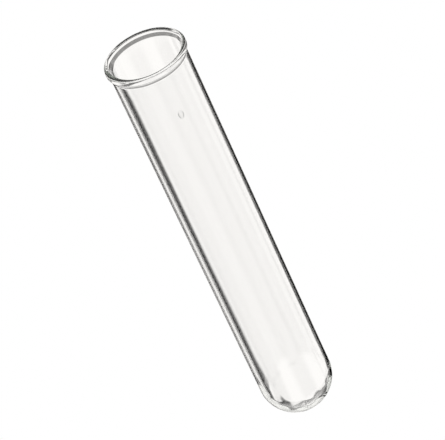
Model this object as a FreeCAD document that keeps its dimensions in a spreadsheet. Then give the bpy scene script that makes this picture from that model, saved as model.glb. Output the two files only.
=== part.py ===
import FreeCAD, Part
import math
import os
import Sketcher

# A laboratory test tube: one continuous piece of borosilicate glass, drawn from tubing,
# closed to a round bottom at one end and flared to a beaded rim at the other.
# Frame: +Z up the axis to the mouth, origin at the lowest point of the outer bottom.

# Driving dimensions in millimetres: alias, value, meaning.
DIMENSIONS = (
    ("overall_length", 151.0, "outer tip of the bottom to the top of the lip"),
    ("tube_diameter", 25.0, "outside of the straight wall"),
    ("wall_thickness", 0.95, "straight wall"),
    ("tip_thickness", 1.6, "glass at the centre of the bottom"),
    ("rim_diameter", 26.6, "outside of the bead at its widest"),
    ("rim_drop", 1.5, "widest ring of the bead below the lip"),
    ("neck_radius", 2.8, "hollow between the wall and the bead"),
    ("bead_lower_radius", 0.7, "bead below its widest ring"),
    ("bead_upper_radius", 6.1, "bead above its widest ring"),
    ("lip_radius", 0.8, "fire-polished lip"),
    ("flare_radius", 9.0, "bell mouth inside the lip"),
)

NODE = "glass_tube"

# Which end of an arc or a line a sketch constraint holds.
START, END, CENTRE = 1, 2, 3
# A sketch's own origin and vertical axis, as constraints name them.
ORIGIN = (-1, START)
VERTICAL_AXIS = -2


def make_sheet(doc):
    """The spreadsheet of driving dimensions, one alias to a row."""
    sheet = doc.addObject("Spreadsheet::Sheet", "Dimensions")
    for row, (alias, value, meaning) in enumerate(DIMENSIONS, start=1):
        sheet.set(f"A{row}", meaning)
        sheet.set(f"B{row}", str(value))
        sheet.setAlias(f"B{row}", alias)
    doc.recompute()
    return sheet


def origin_plane(body, role):
    return next(feature for feature in body.Origin.OriginFeatures if feature.Role == role)


def arc(centre, radius, first_degrees, last_degrees):
    """An arc that runs anticlockwise between two angles."""
    circle = Part.Circle(FreeCAD.Vector(*centre, 0), FreeCAD.Vector(0, 0, 1), radius)
    return Part.ArcOfCircle(circle, math.radians(first_degrees), math.radians(last_degrees))


def line(first, last):
    return Part.LineSegment(FreeCAD.Vector(*first, 0), FreeCAD.Vector(*last, 0))


def starting_outline(size):
    """The wall's half section close to its solved shape: (name, geometry), once round the glass.

    Sketch x is the distance from the axis and sketch y is the height above the tip."""
    outer = size.tube_diameter / 2
    bore = outer - size.wall_thickness
    widest = size.rim_diameter / 2
    rim_level = size.overall_length - size.rim_drop
    bowl_level = size.tip_thickness + bore

    # The neck's centre stands one neck radius outside the wall and touches the bead's lower arc.
    lower_centre = (widest - size.bead_lower_radius, rim_level)
    lower_reach = size.neck_radius + size.bead_lower_radius
    turn_in = math.degrees(math.acos((outer + size.neck_radius - lower_centre[0]) / lower_reach))
    neck_level = rim_level - lower_reach * math.sin(math.radians(turn_in))
    neck_centre = (outer + size.neck_radius, neck_level)

    # The lip's arc lies inside the bead's upper arc, and its top is the mouth's level.
    upper_centre = (widest - size.bead_upper_radius, rim_level)
    upper_reach = size.bead_upper_radius - size.lip_radius
    rise = size.rim_drop - size.lip_radius
    lip_turn = math.degrees(math.asin(rise / upper_reach))
    lip_centre = (
        upper_centre[0] + upper_reach * math.cos(math.radians(lip_turn)),
        size.overall_length - size.lip_radius,
    )

    # The flare's arc holds the lip's arc inside it too, and runs down into the straight bore.
    flare_reach = size.flare_radius - size.lip_radius
    flare_offset = bore + size.flare_radius - lip_centre[0]
    flare_turn = math.degrees(math.acos(flare_offset / flare_reach))
    flare_level = lip_centre[1] - flare_reach * math.sin(math.radians(flare_turn))
    flare_centre = (bore + size.flare_radius, flare_level)

    return (
        ("outer_bowl", arc((0, outer), outer, -90, 0)),
        ("outer_wall", line((outer, outer), (outer, neck_level))),
        ("neck", arc(neck_centre, size.neck_radius, 180 - turn_in, 180)),
        ("bead_lower", arc(lower_centre, size.bead_lower_radius, -turn_in, 0)),
        ("bead_upper", arc(upper_centre, size.bead_upper_radius, 0, lip_turn)),
        ("lip", arc(lip_centre, size.lip_radius, lip_turn, 180 - flare_turn)),
        ("flare", arc(flare_centre, size.flare_radius, 180 - flare_turn, 180)),
        ("bore_wall", line((bore, flare_level), (bore, bowl_level))),
        ("inner_bowl", arc((0, bowl_level), bore, -90, 0)),
        ("axis_edge", line((0, size.tip_thickness), (0, 0))),
    )


def constrain_outline(sketch, edge):
    """Ties the outline's edges together and binds every size to the spreadsheet."""
    def add(kind, *held):
        return sketch.addConstraint(Sketcher.Constraint(kind, *held))

    # Each edge runs smoothly into the next, up the outside, over the lip and down the bore.
    joins = (
        ("outer_bowl", END, "outer_wall", START),
        ("outer_wall", END, "neck", END),
        ("neck", START, "bead_lower", START),
        ("bead_lower", END, "bead_upper", START),
        ("bead_upper", END, "lip", START),
        ("lip", END, "flare", START),
        ("flare", END, "bore_wall", START),
        ("bore_wall", END, "inner_bowl", END),
    )
    for first, first_end, second, second_end in joins:
        add("Tangent", edge[first], first_end, edge[second], second_end)

    # The section is closed along the axis, and both bowls are centred on it.
    add("Coincident", edge["outer_bowl"], START, *ORIGIN)
    add("Coincident", edge["inner_bowl"], START, edge["axis_edge"], START)
    add("Coincident", edge["axis_edge"], END, *ORIGIN)
    add("Vertical", edge["axis_edge"])
    add("PointOnObject", edge["outer_bowl"], CENTRE, VERTICAL_AXIS)
    add("PointOnObject", edge["inner_bowl"], CENTRE, VERTICAL_AXIS)
    add("Vertical", edge["outer_wall"])
    add("Vertical", edge["bore_wall"])
    add("Horizontal", edge["bead_lower"], CENTRE, edge["bead_lower"], END)

    radii = (
        ("outer_bowl", "Dimensions.tube_diameter / 2"),
        ("neck", "Dimensions.neck_radius"),
        ("bead_lower", "Dimensions.bead_lower_radius"),
        ("bead_upper", "Dimensions.bead_upper_radius"),
        ("lip", "Dimensions.lip_radius"),
        ("flare", "Dimensions.flare_radius"),
        ("inner_bowl", "Dimensions.tube_diameter / 2 - Dimensions.wall_thickness"),
    )
    for name, formula in radii:
        index = add("Radius", edge[name], sketch.Geometry[edge[name]].Radius)
        bind(sketch, index, f"{name}_radius", formula)

    rim_point = sketch.Geometry[edge["bead_lower"]].EndPoint
    lip_level = sketch.Geometry[edge["lip"]].Center.y
    tip_level = sketch.Geometry[edge["axis_edge"]].StartPoint.y
    length = "Dimensions.overall_length"
    places = (
        ("DistanceX", "bead_lower", END, rim_point.x, "rim_reach", "Dimensions.rim_diameter / 2"),
        ("DistanceY", "bead_lower", END, rim_point.y, "rim_level", f"{length} - Dimensions.rim_drop"),
        ("DistanceY", "lip", CENTRE, lip_level, "lip_level", f"{length} - Dimensions.lip_radius"),
        ("DistanceY", "axis_edge", START, tip_level, "tip_glass", "Dimensions.tip_thickness"),
    )
    for kind, name, end, value, label, formula in places:
        index = add(kind, *ORIGIN, edge[name], end, value)
        bind(sketch, index, label, formula)


def bind(sketch, index, label, formula):
    sketch.renameConstraint(index, label)
    sketch.setExpression(f"Constraints.{label}", formula)


def make_glass_tube(doc, sheet):
    """The whole tube: its half section turned once about the axis."""
    body = doc.addObject("PartDesign::Body", NODE)
    body.Label = NODE
    body.Placement = FreeCAD.Placement()

    sketch = body.newObject("Sketcher::SketchObject", "wall_section")
    sketch.AttachmentSupport = [(origin_plane(body, "XZ_Plane"), "")]
    sketch.MapMode = "FlatFace"
    edge = {name: sketch.addGeometry(shape, False) for name, shape in starting_outline(sheet)}
    constrain_outline(sketch, edge)

    turned = body.newObject("PartDesign::Revolution", "turned_wall")
    turned.Profile = sketch
    turned.ReferenceAxis = (sketch, ["V_Axis"])
    turned.Angle = 360.0
    body.Tip = turned
    sketch.Visibility = False
    doc.recompute()
    return body, sketch


def plain_tube_volume(sheet):
    """The glass of the same tube with no bead or flare, by formula."""
    outer = sheet.tube_diameter / 2
    bore = outer - sheet.wall_thickness
    bowl_level = sheet.tip_thickness + bore
    outside = math.pi * outer**2 * (sheet.overall_length - outer) + 2 / 3 * math.pi * outer**3
    inside = math.pi * bore**2 * (sheet.overall_length - bowl_level) + 2 / 3 * math.pi * bore**3
    return outside - inside


def check(doc, body, sketch, sheet):
    """Stops the build if anything failed quietly."""
    for item in doc.Objects:
        if "Invalid" in item.State or "Error" in item.State:
            raise RuntimeError(f"{item.Label} is in state {item.State}")
    if not sketch.FullyConstrained:
        raise RuntimeError("the wall section is not fully constrained")
    shape = body.Shape
    if shape.isNull() or not shape.isValid() or len(shape.Solids) != 1:
        raise RuntimeError(f"{body.Label} is not one valid solid")
    ratio = shape.Volume / plain_tube_volume(sheet)
    if not 1.0 < ratio < 1.05:
        raise RuntimeError(f"{body.Label} holds {ratio:.3f} times the glass of a plain tube")
    box = shape.optimalBoundingBox()
    print(f"{body.Label}: {shape.Volume / 1000:.2f} cm3 of glass, {ratio:.3f} of a plain tube")
    print(f"box {box.XLength:.2f} x {box.YLength:.2f} x {box.ZLength:.2f} mm, lowest point {box.ZMin:.3f}")


def main():
    doc = FreeCAD.newDocument("TestTube")
    sheet = make_sheet(doc)
    body, sketch = make_glass_tube(doc, sheet)
    check(doc, body, sketch, sheet)
    os.makedirs("parts", exist_ok=True)
    body.Shape.exportStep(f"parts/{body.Label}.step")


main()
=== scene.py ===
import math

import bmesh
import bpy
from mathutils import Matrix, Vector, noise


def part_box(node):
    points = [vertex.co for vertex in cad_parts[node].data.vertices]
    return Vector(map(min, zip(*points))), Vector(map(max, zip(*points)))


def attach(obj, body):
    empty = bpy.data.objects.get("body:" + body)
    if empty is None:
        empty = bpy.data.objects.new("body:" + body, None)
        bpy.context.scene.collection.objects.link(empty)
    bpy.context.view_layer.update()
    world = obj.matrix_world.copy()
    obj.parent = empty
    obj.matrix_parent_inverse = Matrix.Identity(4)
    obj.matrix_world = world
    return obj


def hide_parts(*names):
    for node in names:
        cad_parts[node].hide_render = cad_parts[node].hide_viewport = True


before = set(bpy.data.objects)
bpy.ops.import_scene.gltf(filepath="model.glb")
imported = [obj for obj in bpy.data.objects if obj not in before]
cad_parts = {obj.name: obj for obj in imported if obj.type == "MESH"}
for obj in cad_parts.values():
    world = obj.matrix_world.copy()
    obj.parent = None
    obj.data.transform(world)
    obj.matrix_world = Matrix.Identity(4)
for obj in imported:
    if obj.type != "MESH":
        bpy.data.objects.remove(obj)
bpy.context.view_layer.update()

MM = 0.001

# The tube's sizes. The outside comes from the frame, and the wall repeats the CAD section.
BOX_LOW, BOX_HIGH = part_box("glass_tube")
TUBE_LENGTH = BOX_HIGH.z - BOX_LOW.z
RIM_RADIUS = (BOX_HIGH.x - BOX_LOW.x) / 2
TUBE_RADIUS = 12.5 * MM
WALL = 0.95 * MM
TIP_GLASS = 1.6 * MM
RIM_DROP = 1.5 * MM
NECK_RADIUS = 2.8 * MM
BEAD_LOWER_RADIUS = 0.7 * MM
BEAD_UPPER_RADIUS = 6.1 * MM
LIP_RADIUS = 0.8 * MM
FLARE_RADIUS = 9.0 * MM
BORE_RADIUS = TUBE_RADIUS - WALL
BOWL_LEVEL = TIP_GLASS + BORE_RADIUS

# How finely the skin is divided: round the tube, and along each stretch of the section.
SEGMENTS = 384
WALL_STEPS = 30
ROUND_END_STEPS = 60
NECK_STEPS = 10
BEAD_LOWER_STEPS = 12
BEAD_UPPER_STEPS = 10
LIP_STEPS = 12
FLARE_STEPS = 8
ON_AXIS = 1e-7

# How the real glass departs from the clean section: how far, how many waves fit into the tube's radius or
# the bowl's, how much slower the draw lines change along the tube, and over what height the waviness of
# the rim and the lumps of the bottom fade out.
BORE_OFFSET = 0.2 * MM
BOWL_NOISE = 0.12 * MM
BOWL_WAVES = 3.0
WALL_NOISE = 0.012 * MM
OUTSIDE_WAVES = 3.2
INSIDE_WAVES = 3.7
DRAW_STRETCH = 0.06
RIM_NOISE = 0.09 * MM
RIM_WAVES = 1.4
RIM_FADE = 4.0 * MM
LUMP_FADE = 4.0 * MM

# Lumps of glass that the flame left inside the round bottom: degrees round the visible edge of the
# bowl from its lowest point, degrees further in, half width round, half width across, and height.
LUMPS = (
    (-76.0, 0.0, 7.0, 12.0, 0.40 * MM),
    (-8.0, 0.0, 7.0, 12.0, 0.45 * MM),
    (20.0, 0.0, 7.0, 12.0, 0.45 * MM),
    (55.0, 0.0, 8.0, 12.0, 0.35 * MM),
)
BOWL_TILT = 39.0

# A small flat seed bubble drawn out along the front wall: its height, degrees to the right, and half sizes.
BUBBLE_LEVEL = 133.5 * MM
BUBBLE_SIDE = 11.0
BUBBLE_HALF = Vector((0.85, 0.07, 1.5)) * MM
BUBBLE_SEGMENTS = 32
BUBBLE_RINGS = 20

# The camera looks down on the mouth, and is rolled so that the tube leans to the left.
VIEW_AZIMUTH = 158.0
VIEW_ELEVATION = 36.04
VIEW_ROLL = -25.1
VIEW_LENS = 217.9
VIEW_DISTANCE = 852.1 * MM
VIEW_AIM = Vector((0.14, 0.0, 82.54)) * MM
SENSOR_WIDTH = 36.0
CLIP_START = 0.01
CLIP_END = 50.0

# The glass: its index, its faint haze and bump, and how it absorbs light.
GLASS_IOR = 1.473
HAZE_SCALE = 90.0
HAZE_MOST = 0.012
BUMP_SCALE = 260.0
BUMP_STRENGTH = 0.08
BUMP_DISTANCE = 0.02 * MM
NOISE_DETAIL = 3.0
GLASS_TINT = (0.78, 0.80, 0.78, 1.0)
GLASS_DENSITY = 20.0
# Light that is trapped in the wall runs a long way round before it gets out.
GLASS_BOUNCES = 96

PURE_WHITE = (1.0, 1.0, 1.0, 1.0)
# The colour of the light round the tube.
WARM_WHITE = (1.0, 0.985, 0.965, 1.0)

FLOOR_HALF = 4.0
FLOOR_LEVEL = -0.4
FLOOR_GLOW = 1.0

# Dark cards round the tube, which only the glass sees: middle azimuth, half width, soft side, middle
# elevation, half height and soft end in degrees, and then how dark the card is, from 0 to 1. Azimuth
# turns clockwise from +Y, and the camera looks towards AHEAD. A card that lies straight behind the tube
# fills the glass with grey, as the seventh one does in a view from 180,10. The azimuths, half widths and
# strengths of the second to sixth come from a least-squares fit to the brightness across the photo's
# tube, and the others started from such fits and were then changed.
AHEAD = -VIEW_AZIMUTH
CARDS = (
    (AHEAD - 20.9, 10.5, 1.8, -40.0, 20.0, 4.0, 0.99),
    (AHEAD + 33.3, 20.1, 2.5, -40.0, 20.0, 4.0, 0.99),
    (AHEAD - 66.3, 7.5, 4.0, -38.5, 9.0, 1.5, 0.95),
    (AHEAD - 113.4, 24.7, 8.0, -38.5, 9.0, 1.5, 0.98),
    (AHEAD + 158.9, 25.4, 12.0, -38.5, 9.0, 1.5, 0.98),
    (AHEAD + 89.6, 2.9, 4.0, -38.5, 9.0, 1.5, 0.5),
    (AHEAD + 8.0, 37.0, 10.0, -15.0, 7.7, 1.5, 0.75),
    (AHEAD + 0.0, 70.0, 20.0, -64.0, 9.0, 3.0, 0.92),
)
# Pairs of paler bars, which give the tube its edges when it is seen from four other directions: the
# azimuth looked towards, and the bars' middle elevation and half height.
OTHER_SIDES = ((-45.0, -24.5, 4.5), (135.0, -15.0, 5.0), (-90.0, -2.0, 6.0), (0.0, -2.0, 6.0))
BAR_ASIDE = 28.0
BAR_HALF_WIDTH = 12.0
BAR_SOFT_SIDE = 4.0
BAR_SOFT_END = 1.0
BAR_STRENGTH = 0.8
BARS = [
    (
        towards + side * BAR_ASIDE, BAR_HALF_WIDTH, BAR_SOFT_SIDE,
        level, half_height, BAR_SOFT_END, BAR_STRENGTH,
    )
    for towards, level, half_height in OTHER_SIDES
    for side in (-1, 1)
]


def view_back():
    """The direction from the tube towards the camera."""
    azimuth, elevation = math.radians(VIEW_AZIMUTH), math.radians(VIEW_ELEVATION)
    level = math.cos(elevation)
    return Vector((math.sin(azimuth) * level, -math.cos(azimuth) * level, math.sin(elevation)))


def turned(point):
    """A point given as (across the view, along the view, up), turned into the shared frame."""
    return Matrix.Rotation(math.radians(VIEW_AZIMUTH), 3, "Z") @ Vector(point)


def arc_points(centre, radius, first, last, count):
    """Points along an arc in the section plane, as (distance from the axis, height)."""
    steps = [math.radians(first + (last - first) * k / count) for k in range(count + 1)]
    return [(centre[0] + radius * math.cos(a), centre[1] + radius * math.sin(a)) for a in steps]


def wall_points(radius, first, last):
    """Points along a straight wall, between its two ends and without them."""
    return [(radius, first + (last - first) * k / WALL_STEPS) for k in range(1, WALL_STEPS)]


def outer_section():
    """The outside of the wall from the tip up to the top of the lip."""
    rim_level = TUBE_LENGTH - RIM_DROP
    reach = NECK_RADIUS + BEAD_LOWER_RADIUS
    across = TUBE_RADIUS + NECK_RADIUS - RIM_RADIUS + BEAD_LOWER_RADIUS
    turn = math.degrees(math.acos(across / reach))
    neck_level = rim_level - reach * math.sin(math.radians(turn))
    lip_reach = BEAD_UPPER_RADIUS - LIP_RADIUS
    lip_turn = math.degrees(math.asin((RIM_DROP - LIP_RADIUS) / lip_reach))
    neck_centre = (TUBE_RADIUS + NECK_RADIUS, neck_level)
    bead_lower_centre = (RIM_RADIUS - BEAD_LOWER_RADIUS, rim_level)
    bead_upper_centre = (RIM_RADIUS - BEAD_UPPER_RADIUS, rim_level)
    lip_centre = (
        RIM_RADIUS - BEAD_UPPER_RADIUS + lip_reach * math.cos(math.radians(lip_turn)),
        TUBE_LENGTH - LIP_RADIUS,
    )
    points = arc_points((0, TUBE_RADIUS), TUBE_RADIUS, -90, 0, ROUND_END_STEPS)
    points += wall_points(TUBE_RADIUS, TUBE_RADIUS, neck_level)
    points += arc_points(neck_centre, NECK_RADIUS, 180, 180 - turn, NECK_STEPS)
    points += arc_points(bead_lower_centre, BEAD_LOWER_RADIUS, -turn, 0, BEAD_LOWER_STEPS)[1:]
    points += arc_points(bead_upper_centre, BEAD_UPPER_RADIUS, 0, lip_turn, BEAD_UPPER_STEPS)[1:]
    points += arc_points(lip_centre, LIP_RADIUS, lip_turn, 90, LIP_STEPS)[1:]
    return points, lip_centre


def inner_section(lip_centre):
    """The inside of the wall from the top of the lip down to the bottom of the bore."""
    reach = FLARE_RADIUS - LIP_RADIUS
    turn = math.degrees(math.acos((BORE_RADIUS + FLARE_RADIUS - lip_centre[0]) / reach))
    flare_level = lip_centre[1] - reach * math.sin(math.radians(turn))
    flare_centre = (BORE_RADIUS + FLARE_RADIUS, flare_level)
    points = arc_points(lip_centre, LIP_RADIUS, 90, 180 - turn, LIP_STEPS)[1:]
    points += arc_points(flare_centre, FLARE_RADIUS, 180 - turn, 180, FLARE_STEPS)[1:]
    points += wall_points(BORE_RADIUS, flare_level, BOWL_LEVEL)
    points += arc_points((0, BOWL_LEVEL), BORE_RADIUS, 0, -90, ROUND_END_STEPS)
    return points


def lump_height(direction):
    """How far the glass stands in from the clean bowl, along a direction from the bowl's centre."""
    tilt = math.radians(BOWL_TILT)
    lowest = Vector((0, -math.sin(tilt), -math.cos(tilt)))
    deeper = Vector((0, math.cos(tilt), -math.sin(tilt)))
    ahead = math.degrees(math.asin(max(-1.0, min(1.0, direction.dot(deeper)))))
    turn = math.degrees(math.atan2(direction.x, direction.dot(lowest)))
    height = BOWL_NOISE * noise.noise(direction * BOWL_WAVES)
    for middle, inward, half_turn, half_ahead, size in LUMPS:
        spread = ((turn - middle) / half_turn) ** 2 + ((ahead - inward) / half_ahead) ** 2
        height += size * math.exp(-spread)
    return height


def wall_wave(point, waves):
    """How far a wall stands out from the clean one: long draw lines, and a slow waviness at the rim."""
    along_draw = Vector((point.x, point.y, point.z * DRAW_STRETCH))
    drawn = WALL_NOISE * noise.noise(along_draw * waves / TUBE_RADIUS)
    near_rim = max(0.0, 1.0 - abs(point.z - TUBE_LENGTH + RIM_DROP) / RIM_FADE)
    slow = noise.noise(Vector((point.x, point.y, waves * MM)) * RIM_WAVES / TUBE_RADIUS)
    return drawn + RIM_NOISE * near_rim * slow


def inner_point(point):
    """A point of the clean bore moved to where the real glass has it, in the view's own frame."""
    aside = Vector((point.x, point.y, 0)).normalized() * wall_wave(point, INSIDE_WAVES)
    if point.z > BOWL_LEVEL + LUMP_FADE:
        return point + aside
    direction = (point - Vector((0, 0, BOWL_LEVEL))).normalized()
    fade = min(1.0, (BOWL_LEVEL + LUMP_FADE - point.z) / LUMP_FADE)
    return point + aside - direction * lump_height(direction) * fade


def outer_point(point):
    """A point of the clean outside moved to where the real glass has it, in the view's own frame."""
    return point + Vector((point.x, point.y, 0)).normalized() * wall_wave(point, OUTSIDE_WAVES)


def ring_points(radius, height, inside):
    """One level of the skin, all the way round."""
    points = []
    for k in range(SEGMENTS):
        angle = math.tau * k / SEGMENTS
        point = Vector((radius * math.cos(angle), radius * math.sin(angle), height))
        if inside:
            point = inner_point(point) + Vector((BORE_OFFSET, 0, 0))
        else:
            point = outer_point(point)
        points.append(turned(point))
    return points


def bubble(mesh):
    """A closed hollow inside the wall, with its faces towards the air in it."""
    side = math.radians(BUBBLE_SIDE)
    reach = TUBE_RADIUS - WALL * 0.5
    place = turned((reach * math.sin(side), -reach * math.cos(side), BUBBLE_LEVEL))
    spin = Matrix.Rotation(math.radians(VIEW_AZIMUTH + BUBBLE_SIDE), 4, "Z")
    shape = Matrix.Translation(place) @ spin @ Matrix.Diagonal((*BUBBLE_HALF, 1.0))
    made = bmesh.ops.create_uvsphere(
        mesh, u_segments=BUBBLE_SEGMENTS, v_segments=BUBBLE_RINGS, radius=1.0, matrix=shape
    )
    faces = {face for vertex in made["verts"] for face in vertex.link_faces}
    bmesh.ops.reverse_faces(mesh, faces=list(faces))


def lathe(name, outer, inner):
    """One closed skin: up the outside, over the lip and down the bore."""
    mesh = bmesh.new()
    rings = []
    for radius, height, inside in [(r, z, False) for r, z in outer] + [(r, z, True) for r, z in inner]:
        points = [Vector((0, 0, height))] if radius < ON_AXIS else ring_points(radius, height, inside)
        rings.append([mesh.verts.new(point) for point in points])
    for low, high in zip(rings, rings[1:]):
        for k in range(SEGMENTS):
            n = (k + 1) % SEGMENTS
            if len(low) == 1:
                mesh.faces.new((low[0], high[n], high[k]))
            elif len(high) == 1:
                mesh.faces.new((low[k], low[n], high[0]))
            else:
                mesh.faces.new((low[k], low[n], high[n], high[k]))
    bubble(mesh)
    for face in mesh.faces:
        face.smooth = True
    mesh.normal_update()
    data = bpy.data.meshes.new(name)
    mesh.to_mesh(data)
    mesh.free()
    piece = bpy.data.objects.new(name, data)
    bpy.context.scene.collection.objects.link(piece)
    return piece


def noise_field(tree, place, scale):
    """Soft noise over the object, from 0 to 1."""
    node = tree.nodes.new("ShaderNodeTexNoise")
    node.inputs["Scale"].default_value = scale
    node.inputs["Detail"].default_value = NOISE_DETAIL
    tree.links.new(place, node.inputs["Vector"])
    return node.outputs["Fac"]


def scaled(tree, value, low, high):
    """A value from 0 to 1 spread between two others."""
    node = tree.nodes.new("ShaderNodeMapRange")
    node.inputs["To Min"].default_value = low
    node.inputs["To Max"].default_value = high
    tree.links.new(value, node.inputs["Value"])
    return node.outputs["Result"]


def glass_material():
    """Clear glass that absorbs a little light, with a faint haze and a faint bump."""
    material = bpy.data.materials.new("clear_glass")
    material.use_nodes = True
    tree = material.node_tree
    shader = tree.nodes["Principled BSDF"]
    shader.inputs["Base Color"].default_value = PURE_WHITE
    shader.inputs["Transmission Weight"].default_value = 1.0
    shader.inputs["IOR"].default_value = GLASS_IOR
    place = tree.nodes.new("ShaderNodeTexCoord").outputs["Object"]
    haze = noise_field(tree, place, HAZE_SCALE)
    tree.links.new(scaled(tree, haze, 0.0, HAZE_MOST), shader.inputs["Roughness"])
    bump = tree.nodes.new("ShaderNodeBump")
    bump.inputs["Strength"].default_value = BUMP_STRENGTH
    bump.inputs["Distance"].default_value = BUMP_DISTANCE
    tree.links.new(noise_field(tree, place, BUMP_SCALE), bump.inputs["Height"])
    tree.links.new(bump.outputs["Normal"], shader.inputs["Normal"])
    volume = tree.nodes.new("ShaderNodeVolumeAbsorption")
    volume.inputs["Color"].default_value = GLASS_TINT
    volume.inputs["Density"].default_value = GLASS_DENSITY
    tree.links.new(volume.outputs["Volume"], tree.nodes["Material Output"].inputs["Volume"])
    return material


def math_node(tree, operation, first, second=None, third=None):
    """One sum in the node tree, where each term is a number or another node's output."""
    node = tree.nodes.new("ShaderNodeMath")
    node.operation = operation
    for socket, value in zip(node.inputs, (first, second, third)):
        if value is None:
            continue
        if isinstance(value, (int, float)):
            socket.default_value = value
        else:
            tree.links.new(value, socket)
    return node.outputs[0]


def smooth_edge(tree, value, low, high):
    """0 below the low value and 1 above the high one, with a smooth step between."""
    node = tree.nodes.new("ShaderNodeMapRange")
    node.interpolation_type = "SMOOTHSTEP"
    tree.links.new(value, node.inputs["Value"])
    node.inputs["From Min"].default_value = low
    node.inputs["From Max"].default_value = high
    return node.outputs["Result"]


def card(tree, azimuth, elevation, spec):
    """How much of one soft-edged card a direction meets: from 0 beside it to its strength on it."""
    middle, half_width, side_edge, level, half_height, end_edge, strength = spec
    turn = math_node(tree, "WRAP", math_node(tree, "SUBTRACT", azimuth, middle), 180.0, -180.0)
    aside = math_node(tree, "ABSOLUTE", turn)
    above = math_node(tree, "ABSOLUTE", math_node(tree, "SUBTRACT", elevation, level))
    outside = smooth_edge(tree, aside, half_width - side_edge, half_width + side_edge)
    beyond = smooth_edge(tree, above, half_height - end_edge, half_height + end_edge)
    across = math_node(tree, "SUBTRACT", 1.0, outside)
    along = math_node(tree, "SUBTRACT", 1.0, beyond)
    return math_node(tree, "MULTIPLY", math_node(tree, "MULTIPLY", across, along), strength)


def studio_world():
    """White all round, with dark cards and bars that only the glass sees."""
    world = bpy.data.worlds.new("studio")
    bpy.context.scene.world = world
    world.use_nodes = True
    tree = world.node_tree
    tree.nodes.clear()
    split = tree.nodes.new("ShaderNodeSeparateXYZ")
    tree.links.new(tree.nodes.new("ShaderNodeTexCoord").outputs["Generated"], split.inputs[0])
    azimuth = math_node(tree, "DEGREES", math_node(tree, "ARCTAN2", split.outputs["X"], split.outputs["Y"]))
    elevation = math_node(tree, "DEGREES", math_node(tree, "ARCSINE", split.outputs["Z"]))
    dark = None
    for spec in (*CARDS, *BARS):
        one = card(tree, azimuth, elevation, spec)
        dark = one if dark is None else math_node(tree, "MAXIMUM", dark, one)
    around = tree.nodes.new("ShaderNodeBackground")
    around.inputs["Color"].default_value = WARM_WHITE
    tree.links.new(math_node(tree, "SUBTRACT", 1.0, dark), around.inputs["Strength"])
    behind = tree.nodes.new("ShaderNodeBackground")
    behind.inputs["Color"].default_value = PURE_WHITE
    choice = tree.nodes.new("ShaderNodeMixShader")
    tree.links.new(tree.nodes.new("ShaderNodeLightPath").outputs["Is Camera Ray"], choice.inputs[0])
    tree.links.new(around.outputs[0], choice.inputs[1])
    tree.links.new(behind.outputs[0], choice.inputs[2])
    output = tree.nodes.new("ShaderNodeOutputWorld")
    tree.links.new(choice.outputs[0], output.inputs["Surface"])


def floor():
    """A plain white floor far below the tube, which the glass doesn't see."""
    mesh = bpy.data.meshes.new("floor")
    corners = [
        (-FLOOR_HALF, -FLOOR_HALF, FLOOR_LEVEL),
        (FLOOR_HALF, -FLOOR_HALF, FLOOR_LEVEL),
        (FLOOR_HALF, FLOOR_HALF, FLOOR_LEVEL),
        (-FLOOR_HALF, FLOOR_HALF, FLOOR_LEVEL),
    ]
    mesh.from_pydata(corners, [], [(0, 1, 2, 3)])
    piece = bpy.data.objects.new("floor", mesh)
    bpy.context.scene.collection.objects.link(piece)
    material = bpy.data.materials.new("pale_floor")
    material.use_nodes = True
    tree = material.node_tree
    tree.nodes.clear()
    glow = tree.nodes.new("ShaderNodeEmission")
    glow.inputs["Strength"].default_value = FLOOR_GLOW
    tree.links.new(glow.outputs[0], tree.nodes.new("ShaderNodeOutputMaterial").inputs["Surface"])
    mesh.materials.append(material)
    piece.visible_transmission = False
    piece.visible_glossy = False


def camera():
    """The camera at the photo's viewing angle."""
    data = bpy.data.cameras.new("camera")
    data.lens = VIEW_LENS
    data.sensor_width = SENSOR_WIDTH
    piece = bpy.data.objects.new("camera", data)
    bpy.context.scene.collection.objects.link(piece)
    tilt = math.radians(90 - VIEW_ELEVATION)
    turn = Matrix.Rotation(math.radians(VIEW_AZIMUTH), 4, "Z") @ Matrix.Rotation(tilt, 4, "X")
    turn = turn @ Matrix.Rotation(math.radians(VIEW_ROLL), 4, "Z")
    piece.matrix_world = Matrix.Translation(turned(VIEW_AIM) + view_back() * VIEW_DISTANCE) @ turn
    data.clip_start = CLIP_START
    data.clip_end = CLIP_END
    bpy.context.scene.camera = piece


outer, lip_centre = outer_section()
tube = lathe("test_tube", outer, inner_section(lip_centre))
tube.data.materials.append(glass_material())
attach(tube, "root")
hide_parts("glass_tube")
studio_world()
floor()
camera()
scene = bpy.context.scene
scene.view_settings.view_transform = "Standard"
scene.view_settings.look = "None"
scene.cycles.max_bounces = GLASS_BOUNCES
scene.cycles.transmission_bounces = GLASS_BOUNCES
scene.cycles.glossy_bounces = GLASS_BOUNCES
